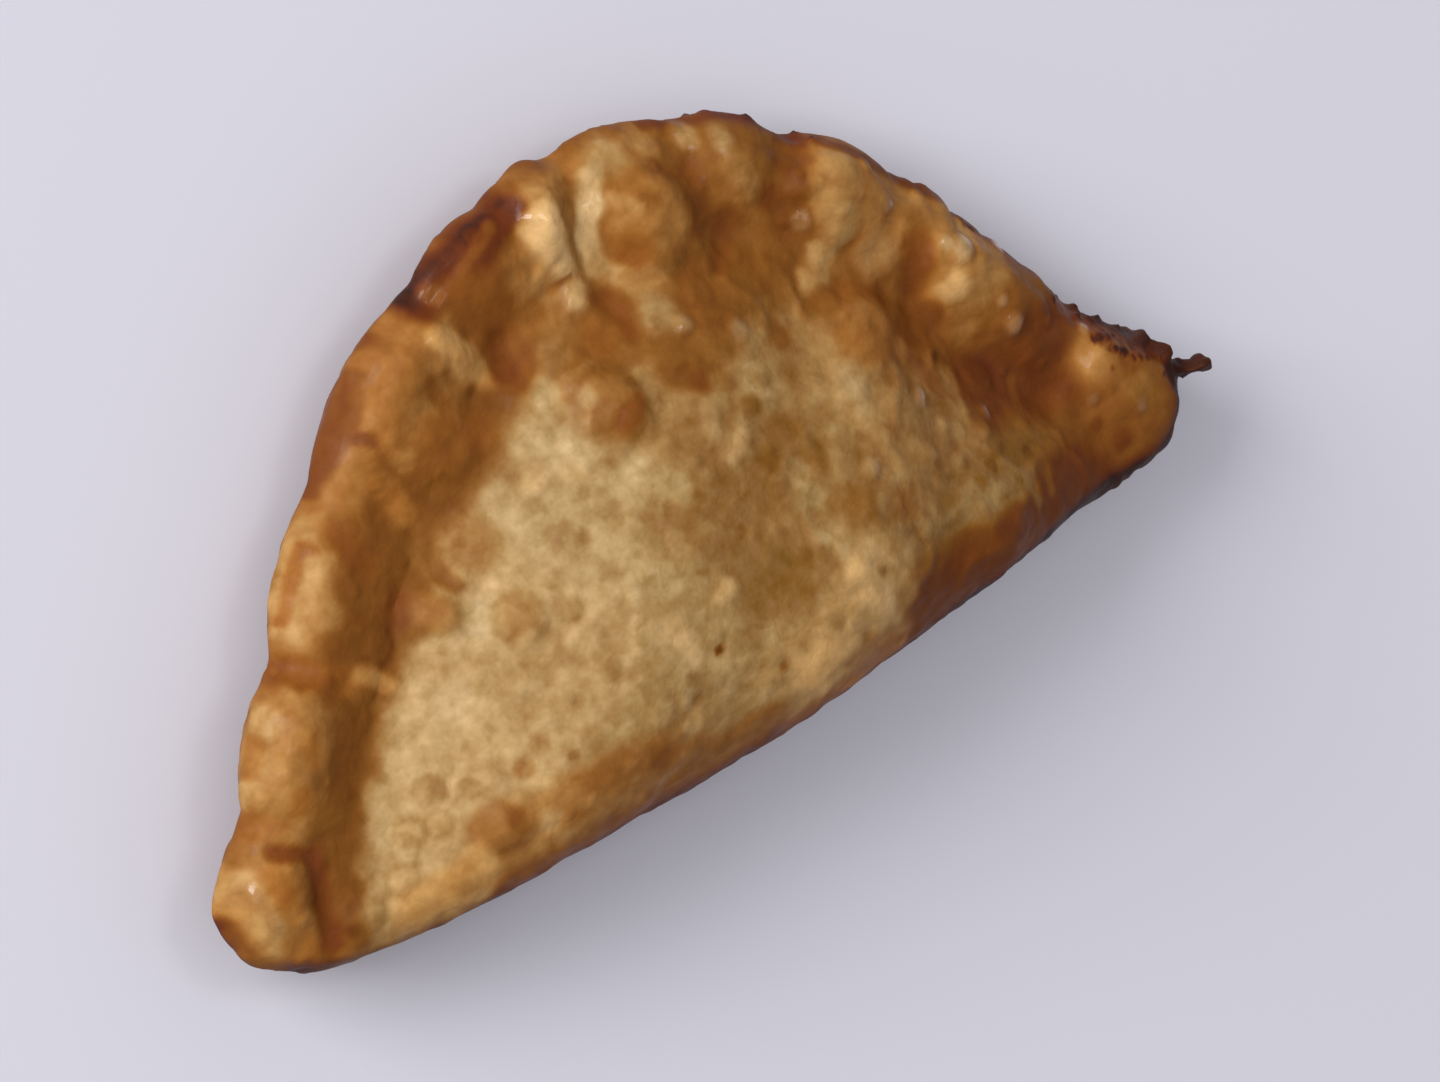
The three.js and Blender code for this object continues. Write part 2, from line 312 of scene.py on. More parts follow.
# The arc to the right of the big blister
RIGHT_RIM = (
    blister(16.5, 28.2, 1.9, 0.4, 0.34, 0.3, oil=0.3),
    blister(19.7, 26.5, 1.9, 0.4, 0.4, 0.2, oil=0.3),
    fold(19.8, 24, 20.2, 20.6, 2, 0.4, 0.51, 0.4),
    fold(17, 18.4, 13.6, 14.8, 1.4, -0.4, 0.72, 0.9),
    fold(26, 21, 23.4, 15, 2.6, -0.5, 0.75, 0.6),
    stain(22.4, 18.6, 2, 0.77, 0.8),
    fold(21.4, 28.6, 26.8, 25, 2.4, 0.6),
    fold(29.4, 24, 27.8, 20.6, 1.3, -0.8, 0.7, 0.9),
    band(21, 28.8, 29.4, 22.6, 1.1, 0.76, 1),
    fold(30, 18.4, 27.4, 12.6, 3.2, 0.6, 0.37, 0.5),
    band(30.6, 21.4, 41.4, 9.4, 0.8, 0.72, 0.9),
    fold(22.4, 8.6, 28, 11.6, 2, 0.5, 0.34, 0.4),
    fold(24.8, 11.4, 24, 8.8, 1.5, 0.3, 0.28, 0.4),
    fold(20.6, 6.6, 25.4, 6.2, 1.7, -0.3, 0.64, 0.7),
    fold(25.4, 6.2, 30.4, 3.4, 1.9, -0.4, 0.66, 1),
    blister(31.4, 7.6, 3.4, 0.6, 0.37, 0.55, oil=0.3),
    stain(32.4, 13, 2.6, 0.38, 0.85),
    stain(37, 8.8, 2, 0.56, 0.5),
    stain(42.8, 4.4, 1.8, 0.22, 0.75),
    fold(36.2, 6.4, 33.4, -2.6, 2.6, -0.5, 0.72, 0.95),
    stain(31.6, -0.6, 3, 0.68, 1),
    blister(25, 2.4, 4.6, 0.3, 0.5, 0.8),
    stain(21.4, 5.2, 2, 0.6, 0.3),
    blister(40, 0.4, 5.2, 0.6, 0.36, 0.75),
    blister(38.6, 0.4, 2.2, 0.3, 0.15, 0.65, oil=0.5),
    band(42, 9, 49.4, -3, 0.9, 0.68, 0.9),
    stain(45, 0, 2.8, 0.36, 0.8),
    stain(39, -4.6, 2.4, 0.5, 0.6),
    stain(29, -2.4, 2, 0.42, 0.9),
    stain(31.4, -6.6, 2.2, 0.54, 0.9),
    fold(46.4, -7.4, 49.6, -9.4, 2.6, -0.5, 0.75, 1),
    stain(33.6, -5.6, 0.9, 0.84, 0.6),
    stain(35.4, -1.6, 2, 0.74, 0.85),
    fold(50, -7.6, 54.4, -10.8, 2, -0.3, 0.8, 1),
    blister(51.8, -15, 4, 0.4, 0.38, 0.9, oil=0.2),
    blister(51.2, -15.8, 1.2, 0.25, 0.33, 0.9, oil=0.4),
    band(52.4, -9, 62.4, -19, 2.6, 0.78, 1),
    band(55.6, -12, 62, -20, 1.4, 0.9, 1),
    stain(56.4, -16.6, 2.2, 0.64, 0.9),
    stain(53.8, -13.6, 0.6, 0.8, 0.9),
    stain(55, -13.6, 0.7, 0.92, 0.8),
    stain(54.4, -15, 0.5, 0.84, 0.8),
    stain(56.6, -15.2, 0.6, 0.9, 0.8),
    stain(57.8, -16.2, 0.8, 0.94, 0.8),
    stain(53.6, -16.8, 0.5, 0.7, 0.8),
    stain(56, -18.2, 0.5, 0.76, 0.8),
    stain(55, -20.6, 3, 0.56, 0.5),
    fold(52, -22, 55.4, -26, 3, 0.4, 0.66, 0.7),
    stain(52.1, -24.6, 1.8, 0.82, 0.9),
    stain(50, -21.6, 1.2, 0.8, 0.8),
    stain(45, -24, 2.6, 0.83, 1),
    band(42.4, -12.6, 40.8, -16, 0.9, 0.7, 0.9),
    band(37.6, -20, 36.8, -24, 1.1, 0.58, 0.3),
    band(40.2, -20.4, 39.6, -24, 0.9, 0.66, 0.6),
    band(34.6, -15.6, 33.8, -19, 1, 0.56, 0.2),
    band(61.4, -20.4, 60.4, -27, 1.8, 0.84, 1),
    stain(65, -22.6, 5, 0.97, 1),
)

# The filled middle: pale on the left, mottled on the right
BELLY = (
    stain(-18, 6.2, 2.8, 0.17, 0.2),
    stain(-13.6, 4.4, 2, 0.2, 0.2),
    stain(-8.6, 1.4, 3.6, 0.26, 0),
    band(-28.4, -3.4, -29.6, -6, 1.6, 0.17, 0),
    blister(-26, -6.2, 3, 0.35, 0.47, 0.3, Form.RING),
    blister(-21.3, -7.2, 1.6, 0.3, 0.4, 0.1, Form.RING),
    stain(-19.3, 3.5, 1.4, 0.4, 0),
    stain(-16.6, -1.8, 1.4, 0.42, 0),
    stain(-9.7, 4, 0.9, 0.4, 0),
    stain(-13, -0.6, 1.1, 0.36, 0),
    band(-31.4, 4, -30, -0.4, 1.8, 0.62, 0.5),
    blister(-26.6, 2.4, 3.6, 0.4, 0.47, 0.35),
    blister(-33.2, -2.3, 2.6, 0.35, 0.46, 0.6, Form.RING),
    stain(-35.6, -11, 4, 0.12, 0.05),
    stain(-38.6, -13.2, 2.6, 0.2, 0.1),
    stain(-42, -16, 2.2, 0.2, 0.1),
    stain(-43.4, -22.4, 3, 0.2, 0.25),
    blister(-42, -18.3, 1.8, 0.3, 0.38, 0.2, Form.RING),
    blister(-45.6, -21.4, 1.8, 0.3, 0.29, 0.25, Form.RING),
    blister(-42.7, -21.7, 1.6, 0.25, 0.28, 0.3, Form.RING),
    blister(-48.2, -25.7, 2, 0.35, 0.27, 0.3, Form.RING),
    blister(-38.6, -19.6, 1.2, 0.2, 0.34, 0.1, Form.RING),
    stain(-32.8, -20.1, 1.6, 0.48, 0.4),
    stain(-30.2, -18.2, 1.4, 0.42, 0.2),
    stain(-27.9, -20.7, 0.9, 0.54, 0.2),
    blister(-38, -24.4, 3, 0.3, 0.53, 0.55, Form.RING),
    stain(-36.2, -24, 1.2, 0.64, 0.8),
    stain(-32.8, -25.8, 2, 0.32, 0.5),
    band(-48, -29.2, -41, -28.2, 3.4, 0.25, 0.75),
    stain(-51.6, -26.6, 2, 0.36, 0.2),
    stain(-24.6, -24.4, 3.6, 0.55, 0.7),
    stain(-18.4, -25.4, 3, 0.62, 0.8),
    stain(-13.6, -24, 2.2, 0.18, 0.45),
    stain(-20.1, -14.8, 1.5, 0.52, 0),
    stain(-25.4, -15.2, 1.1, 0.42, 0),
    stain(-25, -20, 1.8, 0.44, 0.1),
    stain(-15.6, -5.6, 1.6, 0.38, 0),
    stain(-22.6, -19, 1.8, 0.4, 0.1),
    blister(-8.6, -18, 0.8, -0.5, 0.88, 0.4, Form.SOFT),
    blister(-2.2, -23.2, 0.9, -0.3, 0.6, 0.4, Form.SOFT),
    stain(-5.8, -12.4, 2.2, 0.24, 0.35),
    band(-12.6, -13.4, -11.6, -17, 1.8, 0.16, 0.25),
    stain(-5.4, -18.6, 2.6, 0.5, 0),
    stain(-6.2, -0.4, 3.2, 0.3, 0),
    stain(-3.4, -5.4, 2.4, 0.43, 0.2),
    fold(1.6, 2, 2.6, 4.4, 1.6, 0.3, 0.38, 0.25, 0.3),
    fold(2.4, -1.4, 4.8, 0, 1.2, 0.3, 0.32, 0.35, 0.3),
    stain(2.8, 9, 3.2, 0.7, 0.45),
    stain(3.4, 6.8, 1.9, 0.76, 0.7),
    blister(10, 4, 3.4, 0.3, 0.37, 0.15),
    stain(6.4, 5.4, 1.8, 0.6, 0.2),
    stain(9.6, -1.8, 3, 0.6, 0.2),
    stain(7.4, 1.9, 1.7, 0.66, 0.15),
    stain(6.2, -3.4, 1.9, 0.66, 0.2),
    stain(12.2, -5.4, 2.2, 0.66, 0.15),
    stain(8.8, -6.6, 2, 0.42, 0.1),
    stain(3.2, -15.6, 3.2, 0.64, 0),
    fold(13.4, -9, 15.2, -5.4, 1.8, 0.3, 0.38, 0.1),
    blister(19.9, -1.4, 2.8, 0.3, 0.2, 0.25, oil=0.4),
    band(20, -4, 17.4, -6.6, 1.8, 0.32, 0.3),
    stain(22.6, -7.4, 2.2, 0.5, 0.4),
    blister(13.2, -12.4, 3, 0.2, 0.61, 0.25),
    stain(18.6, -14.6, 2.4, 0.56, 0.5),
    band(8.8, -9, 8.2, -12.6, 1.8, 0.4, 0),
    band(8.8, -13.6, 10.8, -18, 1.8, 0.3, 0.15),
    fold(9.6, -18, 11.4, -23, 2.3, 0.3, 0.14, 0.4),
    stain(12, -17.2, 1.8, 0.26, 0.3),
    stain(12.2, -19.4, 0.9, 0.46, 0.4),
    stain(1.8, -25, 4, 0.12, 0.65),
    stain(5, -21.4, 1.6, 0.44, 0.2),
    band(8, -27, 14, -28, 2.4, 0.42, 0.7),
    blister(25.2, -12.8, 1.4, 0.2, 0.4, 0.5),
    stain(29, -18.4, 1.4, 0.54, 0.1),
    band(33.6, -8, 32.6, -12, 1.8, 0.46, 0.5),
    stain(15.4, 8.4, 2.8, 0.6, 0.3),
    stain(15.4, 5.8, 2, 0.62, 0.6),
    stain(14.6, 2.4, 2.6, 0.54, 0.2),
    stain(16, -23.8, 1.8, 0.38, 0.45),
    band(19.4, -24.6, 20, -29, 1.8, 0.8, 0.8),
    stain(26.2, -16.4, 2, 0.45, 0.2),
    band(-14, -29, -5, -28.6, 2.6, 0.55, 0.6),
    band(-2, -31, 14, -29.6, 2.6, 0.52, 0.9),
    band(24, -19.6, 36, -21, 2.2, 0.5, 0),
)

MARKS = FIELDS + LEFT_RIM + CROWN + RIGHT_RIM + BELLY

# Small oily bubbles that catch the light, raised last so that they stay crisp
BEADS = (
    blister(40.6, 3.6, 1.8, 0.45, 0.22, 0.4, Form.RING, 1),
    blister(39.2, 5.2, 1, 0.3, 0.26, 0.4, oil=1),
    blister(44, -6.7, 1.5, 0.3, 0.42, 0.7, Form.RING, 1),
    blister(43.5, -3.7, 0.9, 0.22, 0.4, 0.7, oil=1),
    blister(47.2, 0.6, 0.8, 0.2, 0.44, 0.7, oil=1),
    blister(52.9, -12, 0.9, 0.25, 0.42, 0.7, oil=1),
    blister(55.2, -21.9, 0.9, 0.17, 0.54, 0.6, oil=1),
    blister(50.4, -18.8, 0.8, 0.16, 0.54, 0.8, oil=1),
    blister(34.8, 11.4, 0.9, 0.2, 0.44, 0.6, oil=1),
    blister(24.4, 14.6, 1.3, 0.35, 0.54, 0.5, oil=0.8),
    blister(5.4, 12.2, 1.2, 0.35, 0.38, 0.4, oil=0.8),
    blister(10.6, 8.8, 1.5, 0.35, 0.43, 0.2, oil=0.8),
    blister(17, -9.8, 1.3, 0.35, 0.3, 0.5, oil=0.9),
    blister(28.2, -7.4, 1.2, 0.3, 0.38, 0.6, oil=0.9),
    blister(36.4, -13.4, 0.8, 0.16, 0.74, 0.8, oil=1),
)


class Wire:
    """A shader value that takes part in sums as a number does."""

    def __init__(self, shader: Shader, socket: bpy.types.NodeSocket) -> None:
        """Keep the socket that gives the value, and the shader that it is in."""
        self.shader = shader
        self.socket = socket

    def __add__(self, other: Wire | float) -> Wire:
        """Add another value or a number."""
        return self.shader.sum_node("ADD", self, other)

    def __sub__(self, other: Wire | float) -> Wire:
        """Take another value or a number away."""
        return self.shader.sum_node("SUBTRACT", self, other)

    def __rsub__(self, other: float) -> Wire:
        """Be taken away from a number."""
        return self.shader.sum_node("SUBTRACT", other, self)

    def __mul__(self, other: Wire | float) -> Wire:
        """Multiply by another value or a number."""
        return self.shader.sum_node("MULTIPLY", self, other)

    __radd__ = __add__
    __rmul__ = __mul__


class Shader:
    """A material whose nodes are added by expressions."""

    # The Mix node's sockets for the share and two colours, and its colour output
    MIX_INPUTS = (0, 6, 7)
    MIX_RESULT = 2
    RANGE_INPUTS = ("Value", "From Min", "From Max", "To Min", "To Max")

    def __init__(self, name: str) -> None:
        """Start an empty material.

        Args:
            name: the material's name.
        """
        self.material = bpy.data.materials.new(name)
        self.material.use_nodes = True
        self.tree = self.material.node_tree
        self.tree.nodes.clear()

    def node(self, kind: str, settings: Settings, sockets: Sockets) -> bpy.types.Node:
        """Add one node.

        Args:
            kind: the node's type.
            settings: the node's own settings, set first; "stops" are a ramp's places and colours.
            sockets: what goes into each socket, a number, a colour or a wire.

        Returns:
            The node.
        """
        made = self.tree.nodes.new(kind)
        for name, value in settings.items():
            if name == "stops":
                self.set_stops(made.color_ramp, value)
            else:
                setattr(made, name, value)
        for name, value in sockets.items():
            if isinstance(value, Wire):
                self.tree.links.new(value.socket, made.inputs[name])
            else:
                made.inputs[name].default_value = value
        return made

    @staticmethod
    def set_stops(ramp: bpy.types.ColorRamp, stops: Stops) -> None:
        """Give a ramp its places and colours.

        Args:
            ramp: a new ramp, which has two stops.
            stops: place and colour of each stop, from low to high.
        """
        while len(ramp.elements) < len(stops):
            ramp.elements.new(1.0)
        for element, (place, colour) in zip(ramp.elements, stops):
            element.position = place
            element.color = colour

    def wire(self, kind: str, settings: Settings, sockets: Sockets, output: str | int = 0) -> Wire:
        """Add one node and hand on one of its outputs, ready for sums."""
        return Wire(self, self.node(kind, settings, sockets).outputs[output])

    def sum_node(self, operation: str, first: Wire | float, second: Wire | float) -> Wire:
        """Work out one step of a sum on values."""
        return self.wire("ShaderNodeMath", {"operation": operation}, {0: first, 1: second})

    def attribute(self, name: str) -> Wire:
        """Read a value that the mesh carries at each point."""
        return self.wire("ShaderNodeAttribute", {"attribute_name": name}, {}, "Fac")

    def rise(self, value: Wire, span: Span, start: float, end: float) -> Wire:
        """Go from start to end as a value crosses a span, and stay there on both sides of it."""
        sockets = dict(zip(self.RANGE_INPUTS, (value, *span, start, end)))
        return self.wire("ShaderNodeMapRange", {}, sockets)

    def mix(self, share: Wire, first: Wire, second: Wire) -> Wire:
        """Mix two colours, with the share 0 for the first and 1 for the second."""
        sockets = dict(zip(self.MIX_INPUTS, (share, first, second)))
        return self.wire("ShaderNodeMix", {"data_type": "RGBA"}, sockets, self.MIX_RESULT)

    def finish(self, surface: Wire) -> bpy.types.Material:
        """Show a surface shader as the material's own, and hand on the material."""
        self.node("ShaderNodeOutputMaterial", {}, {"Surface": surface})
        return self.material


# Where on a browning ramp its colours stand, from pale to burnt
STOP_PLACES = (0.0, 0.1, 0.2, 0.35, 0.5, 0.62, 0.76, 0.88, 1.0)


def browns(*colours: tuple[int, int, int]) -> Stops:
    """Set a row of screen colours, from pale to burnt, at the places of a browning ramp."""
    return tuple((place, srgb(*colour)) for place, colour in zip(STOP_PLACES, colours))


@dataclass(frozen=True)
class FriedDough:
    """The crust's finish: one brown for the filled middle, a redder one for the rim, and a skin of oil.

    A scale counts patterns to the metre. A tone is how much a pattern changes the browning, and a height
    how much it raises the surface.
    """

    middle: Stops = browns(
        (214, 184, 134), (197, 165, 117), (181, 150, 101), (160, 127, 76), (143, 104, 55),
        (129, 88, 31), (113, 70, 13), (96, 53, 12), (56, 28, 12),
    )
    rim: Stops = browns(
        (236, 178, 100), (216, 159, 84), (196, 142, 74), (175, 117, 52), (156, 96, 34),
        (137, 79, 24), (118, 61, 16), (99, 43, 13), (54, 24, 11),
    )
    patch_scale: float = 230.0
    mottle_scale: float = 620.0
    grain_scale: float = 1900.0
    swell_scale: float = 520.0
    dot_scale: float = 330.0
    dot_edge: Span = (0.14, 0.36)
    dot_chance: Span = (0.4, 0.7)
    sway: float = 0.0014
    patch_tone: float = 0.38
    mottle_tone: float = 0.34
    grain_tone: float = 0.08
    # Paler tops on the small swellings: a painted highlight
    swell_highlight_tone: float = 0.12
    swell_mean: float = 0.7
    dot_tone: float = 0.13
    calm_span: Span = (0.45, 0.72)
    calm_least: float = 0.4
    wet_span: Span = (0.48, 0.66)
    roughness: float = 0.58
    oil_gloss: float = 0.26
    wet_gloss: float = 0.08
    rough_change: float = 0.3
    rim_calm: float = 0.35
    rim_smooth: float = 0.4
    swell_height: float = 0.8
    mottle_height: float = 0.6
    grain_height: float = 0.3
    dot_height: float = -0.25
    mean_height: float = 1.0
    bump_strength: float = 0.6
    bump_distance: float = 0.0002

    def material(self) -> bpy.types.Material:
        """Build the material.

        Returns:
            The crust's material.
        """
        shader = Shader("fried_dough")
        place = shader.wire("ShaderNodeTexCoord", {}, {}, "Object")
        patch = self.speckle(shader, place, self.patch_scale, 2.0)
        mottle = self.speckle(shader, place, self.mottle_scale, 2.0)
        grain = self.speckle(shader, place, self.grain_scale, 1.0)
        browning, red, oil = (shader.attribute(name) for name in LAYERS)
        bent = self.swayed(shader, place)
        sockets = {"Vector": bent, "Scale": self.swell_scale}
        gap = shader.wire("ShaderNodeTexVoronoi", {}, sockets, "Distance")
        swell = 1.0 - gap * gap
        dots = self.dots(shader, bent) * (1.0 - red)
        calm = shader.rise(browning, self.calm_span, 1.0, self.calm_least) * (1.0 - red * self.rim_calm)
        uneven = (patch - 0.5) * self.patch_tone + (mottle - 0.5) * self.mottle_tone
        # The tops of the small swellings are made paler: a painted highlight on the bumps
        uneven = uneven + (grain - 0.5) * self.grain_tone - (swell - self.swell_mean) * self.swell_highlight_tone
        tone = browning + uneven * calm + dots * self.dot_tone
        middle = shader.wire("ShaderNodeValToRGB", {"stops": self.middle}, {"Fac": tone}, "Color")
        rim = shader.wire("ShaderNodeValToRGB", {"stops": self.rim}, {"Fac": tone}, "Color")
        wet = shader.rise(patch, self.wet_span, 0.0, 1.0)
        gloss = oil * self.oil_gloss + wet * self.wet_gloss
        relief = swell * self.swell_height + mottle * self.mottle_height + grain * self.grain_height
        relief = relief + dots * self.dot_height - self.mean_height
        bump = shader.wire("ShaderNodeBump", {}, {
            "Height": relief * (1.0 - red * self.rim_smooth),
            "Strength": self.bump_strength,
            "Distance": self.bump_distance,
        })
        surface = shader.wire("ShaderNodeBsdfPrincipled", {}, {
            "Base Color": shader.mix(red, middle, rim),
            "Roughness": self.roughness - gloss + (mottle - 0.5) * self.rough_change,
            "Coat Weight": oil + wet * 0.06,
            "Coat Roughness": 0.1,
            "Coat IOR": 1.65,
            "Specular IOR Level": 0.14,
            "Normal": bump,
        })
        return shader.finish(surface)

    @staticmethod
    def speckle(shader: Shader, place: Wire, scale: float, detail: float) -> Wire:
        """Add cloudy specks of one size, as values round 0.5."""
        return shader.wire("ShaderNodeTexNoise", {}, {"Vector": place, "Scale": scale, "Detail": detail})

    def swayed(self, shader: Shader, place: Wire) -> Wire:
        """Bend the coordinates a little, so that round spots come out uneven.

        Args:
            shader: the material.
            place: the coordinates.

        Returns:
            The bent coordinates.
        """
        sockets = {"Vector": place, "Scale": self.mottle_scale, "Detail": 1.0}
        push = shader.wire("ShaderNodeTexNoise", {}, sockets, "Color")
        kind = "ShaderNodeVectorMath"
        about = shader.wire(kind, {"operation": "SUBTRACT"}, {0: push, 1: (0.5, 0.5, 0.5)})
        small = shader.wire(kind, {"operation": "SCALE"}, {0: about, "Scale": self.sway})
        return shader.wire(kind, {"operation": "ADD"}, {0: place, 1: small})

    def dots(self, shader: Shader, place: Wire) -> Wire:
        """Add browner dots in some of a pattern's cells, where small bubbles opened.

        Args:
            shader: the material that they go in.
            place: the coordinates that they follow.

        Returns:
            Values of 0 beside the dots and up to 1 in them.
        """
        cells = shader.node("ShaderNodeTexVoronoi", {}, {"Vector": place, "Scale": self.dot_scale})
        gap = Wire(shader, cells.outputs["Distance"])
        chance = shader.wire("ShaderNodeSeparateColor", {}, {0: Wire(shader, cells.outputs["Color"])})
        return shader.rise(gap, self.dot_edge, 1.0, 0.0) * shader.rise(chance, self.dot_chance, 0.0, 1.0)


@dataclass(frozen=True)
class PaleGround:
    """The plain pale surface that the pastry lies on."""

    colour: Colour = srgb(226, 225, 236)

    def material(self) -> bpy.types.Material:
        """Build the material.

        Returns:
            The floor's material.
        """
        shader = Shader("pale_ground")
        sockets = {"Base Color": self.colour, "Roughness": 0.8, "Specular IOR Level": 0.2}
        return shader.finish(shader.wire("ShaderNodeBsdfPrincipled", {}, sockets))


@dataclass
class Outline:
    """The pastry's plan outline, found from its surface, with the crimped arc and the fold told apart."""

    points: np.ndarray
    heart: Place = (0.0, -6.0)
    steps: int = 720
    corner_height: float = -22.0
    thread_start: float = 62.5

    def trace(self) -> np.ndarray:
        """Find the outermost place in each direction from the heart.

        Returns:
            One place in plan for each step round.
        """
        flat = self.points[self.points[:, 0] < self.thread_start, :2] - self.heart
        turn = np.floor((np.arctan2(flat[:, 1], flat[:, 0]) / math.tau % 1.0) * self.steps).astype(int)
        far = np.zeros(self.steps)
        np.maximum.at(far, turn, np.hypot(flat[:, 0], flat[:, 1]))
        angle = (np.arange(self.steps) + 0.5) * math.tau / self.steps
        ring = np.stack([np.cos(angle), np.sin(angle)], 1) * far[:, None] + self.heart
        return ring[far > 0]

    def distances(self) -> tuple[np.ndarray, np.ndarray]:
        """Measure each point's distance in plan to the crimped arc and to the fold.

        Returns:
            Distances to the arc and to the fold.
        """
        ring = self.trace()
        on_arc = ring[:, 1] > self.corner_height
        return self.nearest(ring[on_arc]), self.nearest(ring[~on_arc])

    def nearest(self, row: np.ndarray) -> np.ndarray:
        """Measure each point's distance in plan to the closest of a row of places.

        Args:
            row: the places.

        Returns:
            One distance for each point.
        """
        tree = KDTree(len(row))
        for index, (x, y) in enumerate(row):
            tree.insert((x, y, 0.0), index)
        tree.balance()
        gaps = (tree.find((x, y, 0.0))[2] for x, y in self.points[:, :2])
        return np.fromiter(gaps, float, len(self.points))


@dataclass(frozen=True)
class Strewing:
    """A seeded scatter of small blisters.

    Attributes:
        count: how many.
        reach: least and most radius.
        rise: least and most height as a share of the radius.
        tone: how much the tops differ in browning, from least to most.
        ring: the share of them that stand in a sunk ring.
        shown: True for the shown side, False for the back.
        rim: least and most share of the rim at the place, to keep them on the middle or the rim.
    """

    count: int
    reach: Span
    rise: Span
    tone: Span
    ring: float
    shown: bool
    rim: Span


STREWINGS = (
    Strewing(100, (0.7, 1.3), (-0.06, 0.02), (0.04, 0.12), 0.0, True, (0.0, 0.6)),
    Strewing(330, (0.9, 1.7), (0.05, 0.12), (-0.08, 0.0), 0.0, True, (0.0, 0.6)),
    Strewing(90, (1.4, 2.6), (0.03, 0.09), (-0.08, 0.1), 0.4, True, (0.0, 0.6)),
    Strewing(200, (0.7, 1.4), (0.09, 0.17), (-0.08, 0.06), 0.1, True, (0.4, 1.0)),
    Strewing(50, (1.6, 3.0), (0.07, 0.13), (-0.1, 0.1), 0.1, True, (0.4, 1.0)),
    Strewing(620, (0.8, 1.6), (0.04, 0.12), (-0.08, 0.12), 0.1, False, (0.0, 1.0)),
    Strewing(150, (1.5, 3.2), (0.05, 0.12), (-0.1, 0.18), 0.3, False, (0.0, 1.0)),
)


@dataclass
class Skin:
    """The crust's points in millimetres, and what each has gathered: height, browning, redness and oil.

    A tone is a region's browning or what the region adds to it. A span is of how far a point faces up. A
    row of lumps gives their height, run and seed.
    """

    points: np.ndarray
    normals: np.ndarray
    rim_width: float = 15.0
    shown_span: Span = (-0.35, 0.2)
    arc_span: Span = (-0.8, -0.3)
    fold_span: Span = (-0.3, 0.35)
    front_tone: float = 0.32
    back_tone: float = 0.46
    right_tone: float = 0.16
    rim_tone: float = 0.14
    fold_brown_and_shade_tone: float = 0.12
    ring_tone: float = 0.12
    burnt_tone: float = 0.97
    settle_share: float = 0.6
    strew_sway: float = 0.45
    facing_least: float = 0.05
    lump_rows: tuple[tuple[float, ...], ...] = ((0.3, 7.5, 5.0), (0.1, 3.0, 9.0), (0.03, 1.3, 14.0))
    wrinkle_run: float = 6.4
    wrinkle_height: float = 0.24
    lip_gap: float = 1.7
    lip_width: float = 0.7
    lip_depth: float = 0.4
    seed: int = 7
    rise: np.ndarray = field(init=False)
    browning: np.ndarray = field(init=False)
    red: np.ndarray = field(init=False)
    oil: np.ndarray = field(init=False)

    def __post_init__(self) -> None:
        """Measure how each point lies, and lay down the first browning."""
        count = len(self.points)
        self.rise = np.zeros(count)
        self.oil = np.zeros(count)
        self.arc_gap, self.fold_gap = Outline(self.points).distances()
        up = self.normals[:, 2]
        self.shown = smoothstep(*self.shown_span, up)
        # Marks run on round the arc's edge, but fade out on the way round the fold
        by_fold = smoothstep(-3.0, 3.0, self.arc_gap - self.fold_gap)
        self.painted = smoothstep(*self.arc_span, up) * (1.0 - by_fold)
        self.painted += smoothstep(*self.fold_span, up) * by_fold
        self.rim = smoothstep(self.rim_width + 2.0, self.rim_width - 5.0, self.arc_gap)
        self.clouds = 0.6 * lumps(self.points, 9.0, 3.1) + 0.4 * lumps(self.points, 3.6, 8.2)
        broad = np.stack([lumps(self.points, 4.5, seed) for seed in (11.0, 23.0, 37.0)], 1)
        fine = np.stack([lumps(self.points, 1.7, seed) for seed in (31.0, 43.0, 59.0)], 1)
        self.warp = 1.1 * broad + 0.4 * fine
        self.lay_ground()

    def lay_ground(self) -> None:
        """Brown the crust by region: pale in the middle, darker on the rim, the fold and the back. The
        fold's darkening is partly browning and partly painted shade along its lower edge.
        """
        right = smoothstep(-8.0, 30.0, self.points[:, 0])
        front = self.front_tone + self.right_tone * right + self.rim_tone * self.rim
        # Darker towards the fold: browning, and partly a painted shadow along its lower edge
        front = front + self.fold_brown_and_shade_tone * smoothstep(5.0, 0.5, self.fold_gap)
        back = self.back_tone + self.rim_tone * self.rim
        back = back + self.fold_brown_and_shade_tone * smoothstep(6.0, 0.5, self.fold_gap) + 0.16 * self.clouds
        self.browning = back + (front - back) * self.painted
        self.red = 0.25 + 0.45 * self.rim + 0.15 * self.clouds

    def press(self, mark: Mark) -> None:
        """Work one listed mark into the shown side.

        Args:
            mark: the mark.
        """
        aside = self.aside(mark.path)
        near = np.hypot(aside[:, 0], aside[:, 1]) / mark.reach
        self.lift(near, mark.rise * self.shown, mark.form)
        bend = min(1.0, mark.reach / 3.0) * BEND[mark.form]
        bent = aside + self.warp[:, :2] * bend
        cover = smoothstep(*COVER, np.hypot(bent[:, 0], bent[:, 1]) / mark.reach) * self.painted
        if mark.tone is not None:
            self.browning += (mark.tone - self.browning) * cover
        if mark.red is not None:
            self.red += (mark.red - self.red) * cover
        if mark.form is Form.RING:
            self.browning += self.ring_tone * ridge(*BROWN_RING, near) * self.painted * self.calm()
        self.oil = np.maximum(self.oil, mark.oil * cover)

    def aside(self, path: tuple[Place, ...]) -> np.ndarray:
        """Measure how each point lies from the closest place of a path, in plan.

        Args:
            path: the places that it runs through.

        Returns:
            The way from the path to each point.
        """
        flat = self.points[:, :2]
        turns = np.array(path)
        closest = flat - turns[0]
        for start, end in zip(turns, turns[1:]):
            run = end - start
            share = np.clip((flat - start) @ run / (run @ run), 0.0, 1.0)
            way = flat - start - share[:, None] * run
            nearer = np.hypot(way[:, 0], way[:, 1]) < np.hypot(closest[:, 0], closest[:, 1])
            closest[nearer] = way[nearer]
        return closest

